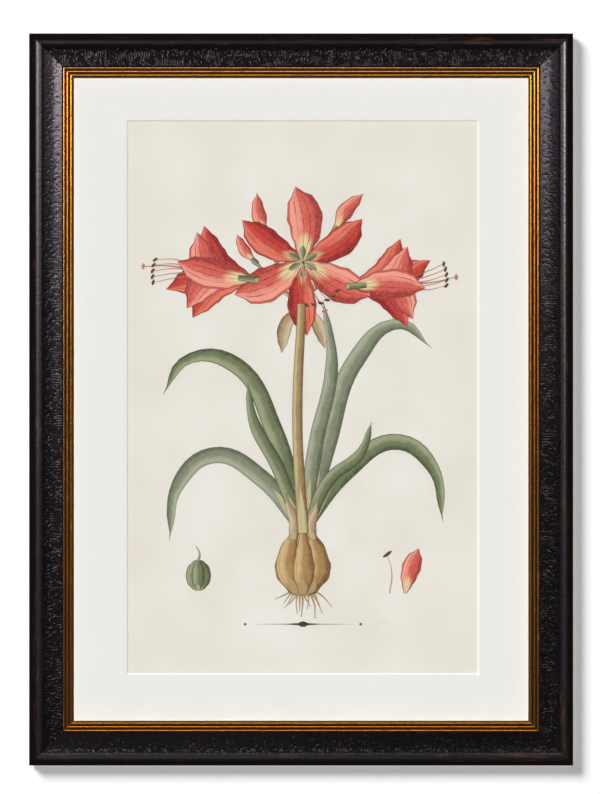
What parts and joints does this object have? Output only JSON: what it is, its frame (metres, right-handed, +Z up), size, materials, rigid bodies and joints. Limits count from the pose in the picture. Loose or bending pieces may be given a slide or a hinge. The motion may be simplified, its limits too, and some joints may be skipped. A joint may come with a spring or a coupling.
{
  "type": "framed print",
  "caption": "Portrait wall frame in dark embossed wood with gilt beads, glazed over a cream mount board and an aged botanical plate, hung from swivelling D rings.",
  "frame": {"origin": "on the centre line of the top rail's flat back, where the frame meets the wall", "axes": "+Z up, +Y out of the back towards the wall, so the picture faces -Y, and +X to the viewer's right"},
  "size_m": [0.489, 0.0271, 0.658],
  "materials": {
    "black_wood": "near-black lacquer over embossed red-brown wood, rubbed at the edges, satin",
    "gilt_bead": "gilded half-round beads over dark quirks, lightly worn",
    "clear_glass": "clear picture glass",
    "mount_card": "smooth off-white mount board with a white bevelled core",
    "print_paper": "aged cream paper with a hand-coloured plant",
    "hardboard": "brown hardboard, matte",
    "spring_steel": "bright spring steel",
    "nickel_plate": "nickel-plated steel, slightly dulled",
    "rubber": "soft black rubber"
  },
  "bodies": {
    "frame": {"rail_top": "black_wood", "rail_right": "black_wood", "rail_bottom": "black_wood", "rail_left": "black_wood", "gilt_slip_top": "gilt_bead", "gilt_slip_right": "gilt_bead", "gilt_slip_bottom": "gilt_bead", "gilt_slip_left": "gilt_bead", "glazing": "clear_glass", "mount_board": "mount_card", "print_sheet": "print_paper", "backing_board": "hardboard", "point_tab_01": "spring_steel", "point_tab_02": "spring_steel", "point_tab_03": "spring_steel", "point_tab_04": "spring_steel", "point_tab_05": "spring_steel", "point_tab_06": "spring_steel", "point_tab_07": "spring_steel", "point_tab_08": "spring_steel", "point_tab_09": "spring_steel", "point_tab_10": "spring_steel", "point_tab_11": "spring_steel", "point_tab_12": "spring_steel", "point_tab_13": "spring_steel", "point_tab_14": "spring_steel", "hanger_strap_left": "nickel_plate", "hanger_screw_left": "nickel_plate", "hanger_strap_right": "nickel_plate", "hanger_screw_right": "nickel_plate", "wall_bumper_left": "rubber", "wall_bumper_right": "rubber"},
    "left_ring": {"hanger_ring_left": "nickel_plate"},
    "right_ring": {"hanger_ring_right": "nickel_plate"}
  },
  "joints": [
    {"name": "left_ring_swivel", "type": "hinge", "parent": "frame", "child": "left_ring", "pos_m": [-0.2185, 0.0024, -0.1728], "axis": [0, 0, 1], "range_deg": [0, 165]},
    {"name": "right_ring_swivel", "type": "hinge", "parent": "frame", "child": "right_ring", "pos_m": [0.2185, 0.0024, -0.1728], "axis": [0, 0, -1], "range_deg": [0, 165]}
  ]
}
